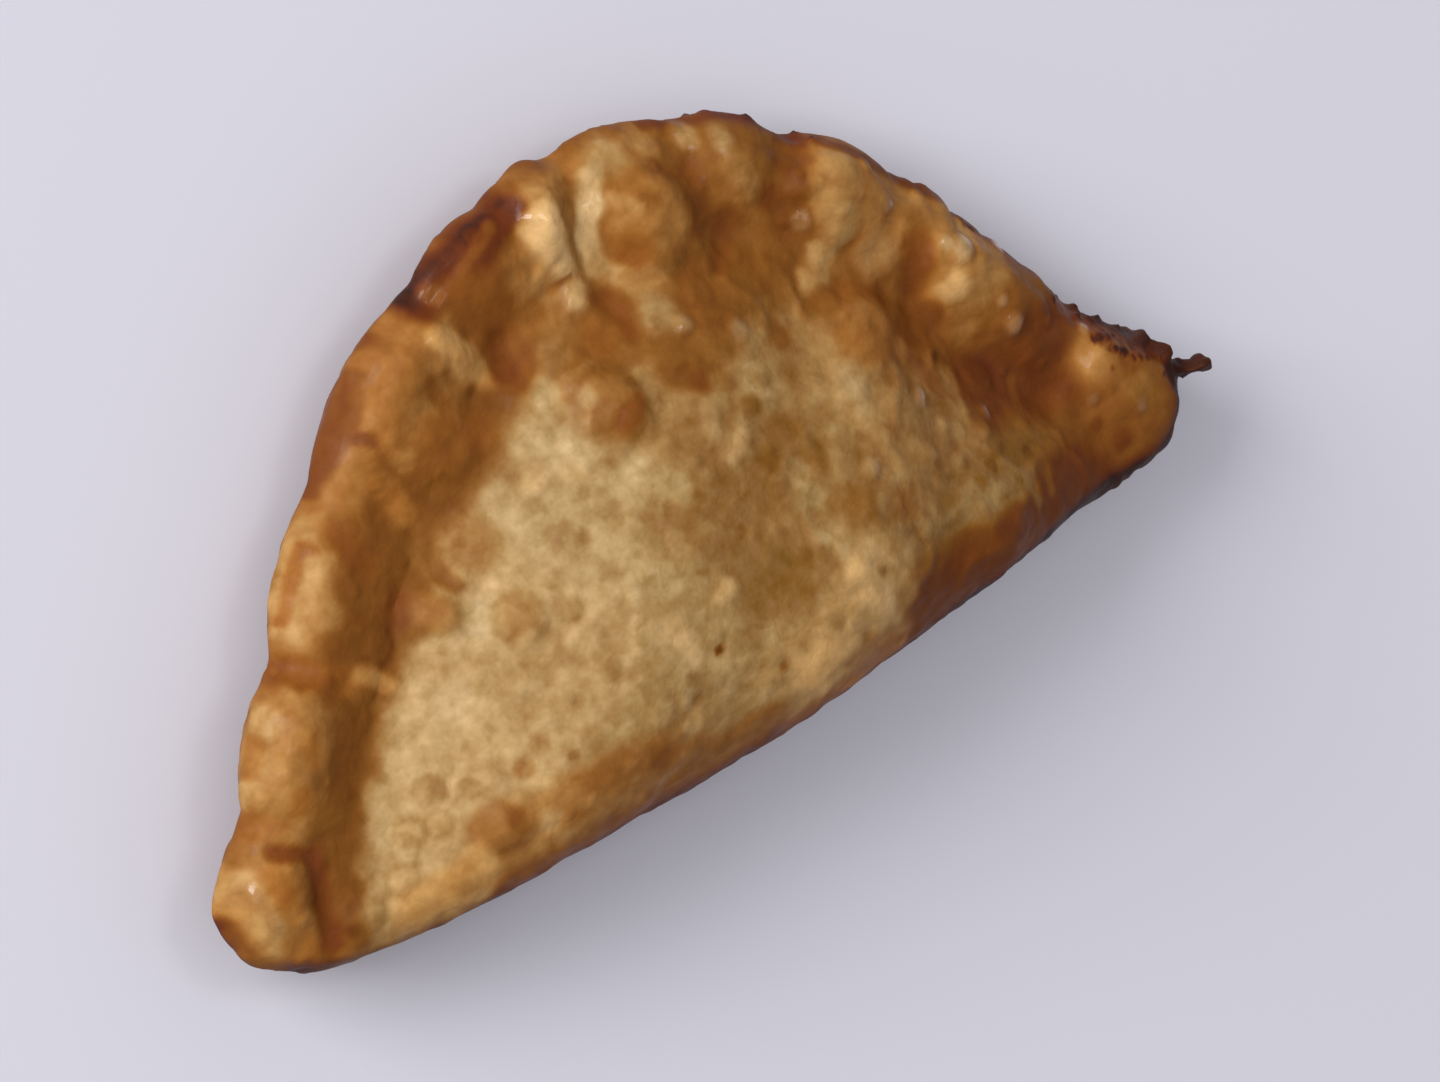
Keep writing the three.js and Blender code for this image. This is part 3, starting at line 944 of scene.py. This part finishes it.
    def calm(self) -> np.ndarray:
        """Tell how far each point's tone may vary: 1 on pale dough, little where it is brown all over."""
        return 1.0 - 0.85 * smoothstep(0.45, 0.65, self.browning)

    def lift(self, near: np.ndarray, height: np.ndarray | float, form: Form,
             at: np.ndarray | slice = slice(None)) -> None:
        """Raise points by a mark's profile.

        Args:
            near: distance from the mark's middle, as a share of its reach.
            height: height in the middle.
            form: how the mark rises.
            at: which points these are.
        """
        profile = np.clip(1.0 - near * near, 0.0, 1.0) ** EASE[form]
        if form is Form.RING:
            profile = profile - RING_DEPTH * ridge(*SUNK_RING, near)
        self.rise[at] += height * profile

    def settle(self, edges: np.ndarray, rounds: int) -> None:
        """Soften the relief so far, each point towards the middle of its neighbours.

        Args:
            edges: the two points of each edge.
            rounds: how often.
        """
        count = len(self.points)
        ends = np.concatenate([edges[:, 0], edges[:, 1]])
        others = np.concatenate([edges[:, 1], edges[:, 0]])
        shares = np.bincount(ends, minlength=count)
        for _ in range(rounds):
            around = np.bincount(ends, weights=self.rise[others], minlength=count) / shares
            self.rise = (1.0 - self.settle_share) * self.rise + self.settle_share * around

    def strew(self, plans: tuple[Strewing, ...]) -> None:
        """Scatter small blisters over both sides.

        Args:
            plans: the scatters, each with its own size and place.
        """
        draw = np.random.default_rng(self.seed)
        bent = self.points + self.strew_sway * self.warp
        tree = KDTree(len(bent))
        for index, point in enumerate(bent):
            tree.insert(point, index)
        tree.balance()
        calm = self.calm()
        for plan in plans:
            facing = self.normals[:, 2] if plan.shown else -self.normals[:, 2]
            fits = (facing > self.facing_least) & (self.rim >= plan.rim[0]) & (self.rim <= plan.rim[1])
            for seat in draw.choice(np.flatnonzero(fits), plan.count, replace=False):
                reach = draw.uniform(*plan.reach)
                height = reach * draw.uniform(*plan.rise)
                tone = draw.uniform(*plan.tone) * calm[seat]
                form = Form.RING if draw.random() < plan.ring else Form.SOFT
                self.puff(tree.find_range(bent[seat], reach * RING_END), reach, height, tone, form)

    def puff(self, found: list, reach: float, height: float, tone: float, form: Form) -> None:
        """Raise one scattered blister.

        Args:
            found: the points round its middle: place, number and distance of each.
            reach: its radius.
            height: its height.
            tone: how much browner its top is.
            form: how it rises.
        """
        at = np.array([index for _, index, _ in found])
        near = np.array([gap for _, _, gap in found]) / reach
        self.lift(near, height, form, at)
        self.browning[at] += tone * smoothstep(*STREWN_COVER, near)
        if form is Form.RING:
            self.browning[at] += 0.05 * ridge(*STREWN_RING, near)

    def roughen(self) -> None:
        """Add uneven lumps, the wrinkles on the right and the thin lip along the sealed edge."""
        for height, run, seed in self.lump_rows:
            self.rise += height * lumps(self.points, run, seed)
        right = smoothstep(-4.0, 14.0, self.points[:, 0]) * (1.0 - self.rim) * self.shown
        right = right * smoothstep(2.0, 8.0, self.fold_gap)
        lines = np.abs(lumps(self.points + self.warp, self.wrinkle_run, 27.0))
        wrinkle = np.clip(1.0 - 4.0 * lines, 0.0, 1.0) * right
        self.rise += self.wrinkle_height * wrinkle
        self.browning -= 0.06 * wrinkle
        lip = ridge(self.lip_gap, self.lip_width, self.arc_gap) * self.shown
        self.rise -= self.lip_depth * lip * smoothstep(-0.3, 0.3, lumps(self.points, 8.0, 19.0))

    def brown_edges(self) -> None:
        """Brown the sealed edge, and darken the fold up to a line that is thinner at its left end: burnt
        crust, and partly a painted shadow along the fold's lower edge.
        """
        self.browning += 0.1 * smoothstep(1.6, 0.3, self.arc_gap)
        # The dark band along the fold is burnt crust and partly a painted contact shadow
        line = 2.0 + 1.4 * smoothstep(-52.0, -36.0, self.points[:, 0])
        self.browning += 0.36 * smoothstep(line, 0.6, self.fold_gap)
        self.red += 0.3 * smoothstep(4.4, 0.8, self.fold_gap)
        self.browning += 0.06 * self.clouds * self.calm()

    def char(self, crumbs: list[Crumb]) -> None:
        """Burn the crumbs darker than the crust that they sit on.

        Args:
            crumbs: the place and the radius of each.
        """
        for place, reach in crumbs:
            cover = smoothstep(*CRUMB_COVER, np.linalg.norm(self.points - place, axis=1) / reach)
            self.browning += (self.burnt_tone - self.browning) * cover
            self.red += (1.0 - self.red) * cover

    def moved(self, rest_height: float) -> np.ndarray:
        """Push the points out by what they gathered, leaving the flat spot that it lies on.

        Args:
            rest_height: relief fades out below this height.

        Returns:
            The new places.
        """
        lifted = smoothstep(0.0, rest_height, self.points[:, 2])
        places = self.points + self.normals * (self.rise * lifted)[:, None]
        places[:, 2] = np.maximum(places[:, 2], 0.0)
        return places


@dataclass(frozen=True)
class CrumbRow:
    """A row of burnt crumbs along a stretch of the edge.

    Attributes:
        start: where it starts, in plan.
        end: where it ends.
        count: how many crumbs.
        reach: least and most radius.
        height: how high up it is aimed, before each crumb is set on the crust.
        spread: how far a crumb may lie off the row.
    """

    start: Place
    end: Place
    count: int
    reach: Span
    height: float = 9.5
    spread: float = 0.0


@dataclass
class Crust:
    """The whole pastry as one fine mesh, made from a copy of its solid."""

    solid: bpy.types.Object
    merge_gap: float = 0.002
    voxel: float = 0.46
    smooth_share: float = 0.5
    smooth_rounds: int = 8
    crumb_rounds: int = 1
    settle_rounds: int = 8
    rest_height: float = 0.8
    crumb_rows: tuple[CrumbRow, ...] = (
        CrumbRow((51, -7), (59, -15.5), 16, (0.3, 0.8)),
        CrumbRow((59, -15.5), (61.8, -19.5), 14, (0.5, 1.25)),
        CrumbRow((61.6, -22), (67, -21.8), 9, (0.7, 1.1)),
        CrumbRow((8, 33.4), (21, 28.4), 14, (0.35, 0.6), 6),
        CrumbRow((19, 29.6), (30, 22.4), 12, (0.4, 0.65), 8),
        CrumbRow((30, 22.4), (48, -2), 8, (0.35, 0.6)),
        CrumbRow((55, -11.4), (60.8, -18.8), 11, (0.25, 0.5), 17, 1.9),
    )
    crumb_spread: float = 2.5
    crumb_shift: float = 0.5
    crumb_stretch: Span = (0.6, 1.4)
    crumb_unevenness: float = 0.3
    crumb_seed: int = 5

    def build(self) -> bpy.types.Object:
        """Make the crust's mesh, with its relief and its browning.

        Returns:
            The crust.
        """
        crust = bpy.data.objects.new("crust", self.solid.data.copy())
        bpy.context.scene.collection.objects.link(crust)
        crust.data.materials.clear()
        self.pick(crust)
        bpy.ops.object.mode_set(mode="EDIT")
        bpy.ops.mesh.select_all(action="SELECT")
        bpy.ops.mesh.remove_doubles(threshold=self.merge_gap * MM)
        bpy.ops.object.mode_set(mode="OBJECT")
        self.refine(crust, self.smooth_rounds)
        crumbs = self.add_crumbs(crust)
        self.refine(crust, self.crumb_rounds)
        self.work(crust, crumbs)
        bpy.ops.object.shade_smooth()
        return crust

    @staticmethod
    def pick(piece: bpy.types.Object) -> None:
        """Select one piece alone and make it the active one.

        Args:
            piece: the piece.
        """
        bpy.ops.object.select_all(action="DESELECT")
        piece.select_set(True)
        bpy.context.view_layer.objects.active = piece

    def add_crumbs(self, crust: bpy.types.Object) -> list[Crumb]:
        """Set burnt crumbs along the edge and join them on.

        Args:
            crust: the smoothed copy of the solid.

        Returns:
            The place and the radius of each crumb.
        """
        draw = np.random.default_rng(self.crumb_seed)
        pieces = []
        crumbs = []
        for row in self.crumb_rows:
            start = np.array(row.start)
            for share in draw.uniform(0.0, 1.0, row.count):
                off = draw.uniform(-row.spread, row.spread, 2)
                along = (start + (row.end - start) * share + off) * MM
                height = (row.height + draw.uniform(-self.crumb_spread, self.crumb_spread)) * MM
                seat = crust.closest_point_on_mesh((*along, height))[1]
                reach = draw.uniform(*row.reach)
                pieces.append(self.add_crumb(seat, reach, draw))
                crumbs.append((np.array(pieces[-1].location) / MM, reach))
        self.pick(crust)
        for piece in pieces:
            piece.select_set(True)
        bpy.ops.object.join()
        return crumbs

    def add_crumb(self, seat: Vector, reach: float, draw: np.random.Generator) -> bpy.types.Object:
        """Make one uneven crumb.

        Args:
            seat: the place on the edge that it sits near.
            reach: its radius in millimetres.
            draw: gives its shift and its shape.

        Returns:
            The crumb.
        """
        bpy.ops.object.select_all(action="DESELECT")
        shift = Vector(draw.uniform(-self.crumb_shift, self.crumb_shift, 3)) * reach * MM
        bpy.ops.mesh.primitive_ico_sphere_add(subdivisions=2, radius=reach * MM, location=seat + shift)
        bpy.ops.object.mode_set(mode="EDIT")
        bpy.ops.transform.resize(value=tuple(draw.uniform(*self.crumb_stretch, 3)))
        uneven = self.crumb_unevenness * reach * MM
        bpy.ops.transform.vertex_random(offset=uneven, seed=int(draw.integers(1, 10000)))
        bpy.ops.object.mode_set(mode="OBJECT")
        return bpy.context.active_object

    def refine(self, crust: bpy.types.Object, rounds: int) -> None:
        """Fuse what is joined to the crust, split it finely and evenly, and smooth it.

        Args:
            crust: the crust so far.
            rounds: how often it is smoothed.
        """
        self.pick(crust)
        remesh = crust.modifiers.new("fine", "REMESH")
        remesh.mode = "VOXEL"
        remesh.voxel_size = self.voxel * MM
        bpy.ops.object.modifier_apply(modifier=remesh.name)
        smooth = crust.modifiers.new("soften", "SMOOTH")
        smooth.factor = self.smooth_share
        smooth.iterations = rounds
        bpy.ops.object.modifier_apply(modifier=smooth.name)

    def work(self, crust: bpy.types.Object, crumbs: list[Crumb]) -> None:
        """Raise the relief and store the browning on the mesh.

        Args:
            crust: the fine crust.
            crumbs: the place and the radius of each crumb on it.
        """
        mesh = crust.data
        count = len(mesh.vertices)
        places = np.empty(count * 3, np.float32)
        mesh.vertices.foreach_get("co", places)
        normals = np.empty(count * 3, np.float32)
        mesh.vertex_normals.foreach_get("vector", normals)
        skin = Skin(places.reshape(-1, 3).astype(float) / MM, normals.reshape(-1, 3).astype(float))
        for mark in MARKS:
            skin.press(mark)
        edges = np.empty(len(mesh.edges) * 2, np.int32)
        mesh.edges.foreach_get("vertices", edges)
        skin.settle(edges.reshape(-1, 2), self.settle_rounds)
        for bead in BEADS:
            skin.press(bead)
        skin.strew(STREWINGS)
        skin.roughen()
        skin.brown_edges()
        skin.char(crumbs)
        mesh.vertices.foreach_set("co", (skin.moved(self.rest_height) * MM).astype(np.float32).ravel())
        mesh.update()
        for name, values in zip(LAYERS, (skin.browning, skin.red, skin.oil)):
            layer = mesh.attributes.new(name, "FLOAT", "POINT")
            layer.data.foreach_set("value", np.clip(values, 0.0, 1.0).astype(np.float32))

    def dress(self, crust: bpy.types.Object, finish: FriedDough) -> None:
        """Give the crust its finish and its place in the frame.

        Args:
            crust: the finished mesh.
            finish: how it looks.
        """
        crust.data.materials.append(finish.material())
        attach(crust, BODY)
        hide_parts(NODE)


@dataclass
class Studio:
    """The pale floor, the soft light and the camera at the photograph's angle, all in metres."""

    solid: bpy.types.Object
    to_camera: Vector = field(default_factory=lambda: Vector((-0.457, 0.2927, 0.840)).normalized())
    image_up: Vector = field(default_factory=lambda: Vector((0.4444, 0.8931, -0.0694)))
    camera_distance: float = 2.0
    pastry_share: float = 0.70
    sensor_width: float = 36.0
    floor_size: float = 12.0
    key_from: Vector = field(default_factory=lambda: Vector((-0.68, 0.62, 0.44)).normalized())
    key_distance: float = 2.2
    key_size: float = 1.1
    key_watts: float = 42.5
    fill_distance: float = 3.08
    fill_size: float = 2.2
    fill_watts: float = 14.8
    spark_from: Vector = field(default_factory=lambda: Vector((0.07, 0.28, 0.96)).normalized())
    spark_distance: float = 1.6
    spark_size: float = 0.4
    spark_watts: float = 2.0
    world_colour: Colour = srgb(238, 236, 240)
    world_strength: float = 0.39

    def build(self) -> None:
        """Set up the floor, the light and the camera."""
        self.lay_floor()
        self.light()
        self.aim_camera()

    def lay_floor(self) -> None:
        """Lay a wide pale floor under the pastry."""
        bpy.ops.object.select_all(action="DESELECT")
        bpy.ops.mesh.primitive_plane_add(size=self.floor_size)
        floor = bpy.context.active_object
        floor.name = "ground"
        floor.data.materials.append(PaleGround().material())

    def light(self) -> None:
        """Hang a large soft key light at the upper left and two weak ones above, in a pale surround."""
        self.hang("key", self.key_from * self.key_distance, self.key_size, self.key_watts)
        self.hang("spark", self.spark_from * self.spark_distance, self.spark_size, self.spark_watts)
        self.hang("fill", self.to_camera * self.fill_distance, self.fill_size, self.fill_watts)
        world = bpy.data.worlds.new("surround")
        world.use_nodes = True
        background = world.node_tree.nodes["Background"]
        background.inputs["Color"].default_value = self.world_colour
        background.inputs["Strength"].default_value = self.world_strength
        scene = bpy.context.scene
        scene.world = world
        scene.view_settings.view_transform = "Standard"

    @staticmethod
    def hang(name: str, place: Vector, size: float, watts: float) -> None:
        """Hang one square light that faces the pastry.

        Args:
            name: its name.
            place: where it hangs.
            size: its side.
            watts: its power.
        """
        lamp = bpy.data.lights.new(name, "AREA")
        lamp.size = size
        lamp.energy = watts
        holder = bpy.data.objects.new(name, lamp)
        holder.location = place
        holder.rotation_euler = place.to_track_quat("Z", "Y").to_euler()
        bpy.context.scene.collection.objects.link(holder)

    def aim_camera(self) -> None:
        """Put the camera at the photograph's angle, with the pastry in the middle of the frame."""
        up = (self.image_up - self.image_up.project(self.to_camera)).normalized()
        right = up.cross(self.to_camera)
        corners = np.array([vertex.co[:] for vertex in self.solid.data.vertices])
        across = corners @ np.array(right)
        upward = corners @ np.array(up)
        middle = right * float(across.min() + across.max()) / 2
        middle = middle + up * float(upward.min() + upward.max()) / 2
        frame_width = float(np.ptp(across)) / self.pastry_share
        lens = bpy.data.cameras.new("camera")
        lens.sensor_width = self.sensor_width
        lens.lens = self.sensor_width * self.camera_distance / frame_width
        camera = bpy.data.objects.new("camera", lens)
        turn = Matrix((right, up, self.to_camera)).transposed().to_4x4()
        camera.matrix_world = Matrix.Translation(middle + self.to_camera * self.camera_distance) @ turn
        bpy.context.scene.collection.objects.link(camera)
        bpy.context.scene.camera = camera


def main() -> None:
    """Load the solid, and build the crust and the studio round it."""
    logging.basicConfig(level=logging.INFO, format="%(name)s: %(message)s")
    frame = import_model()
    solid = frame["nodes"][NODE]
    maker = Crust(solid)
    crust = maker.build()
    maker.dress(crust, FriedDough())
    LOG.info("%s: %d faces", crust.name, len(crust.data.polygons))
    Studio(solid).build()
    LOG.info("studio ready")


if __name__ == "__main__":
    main()
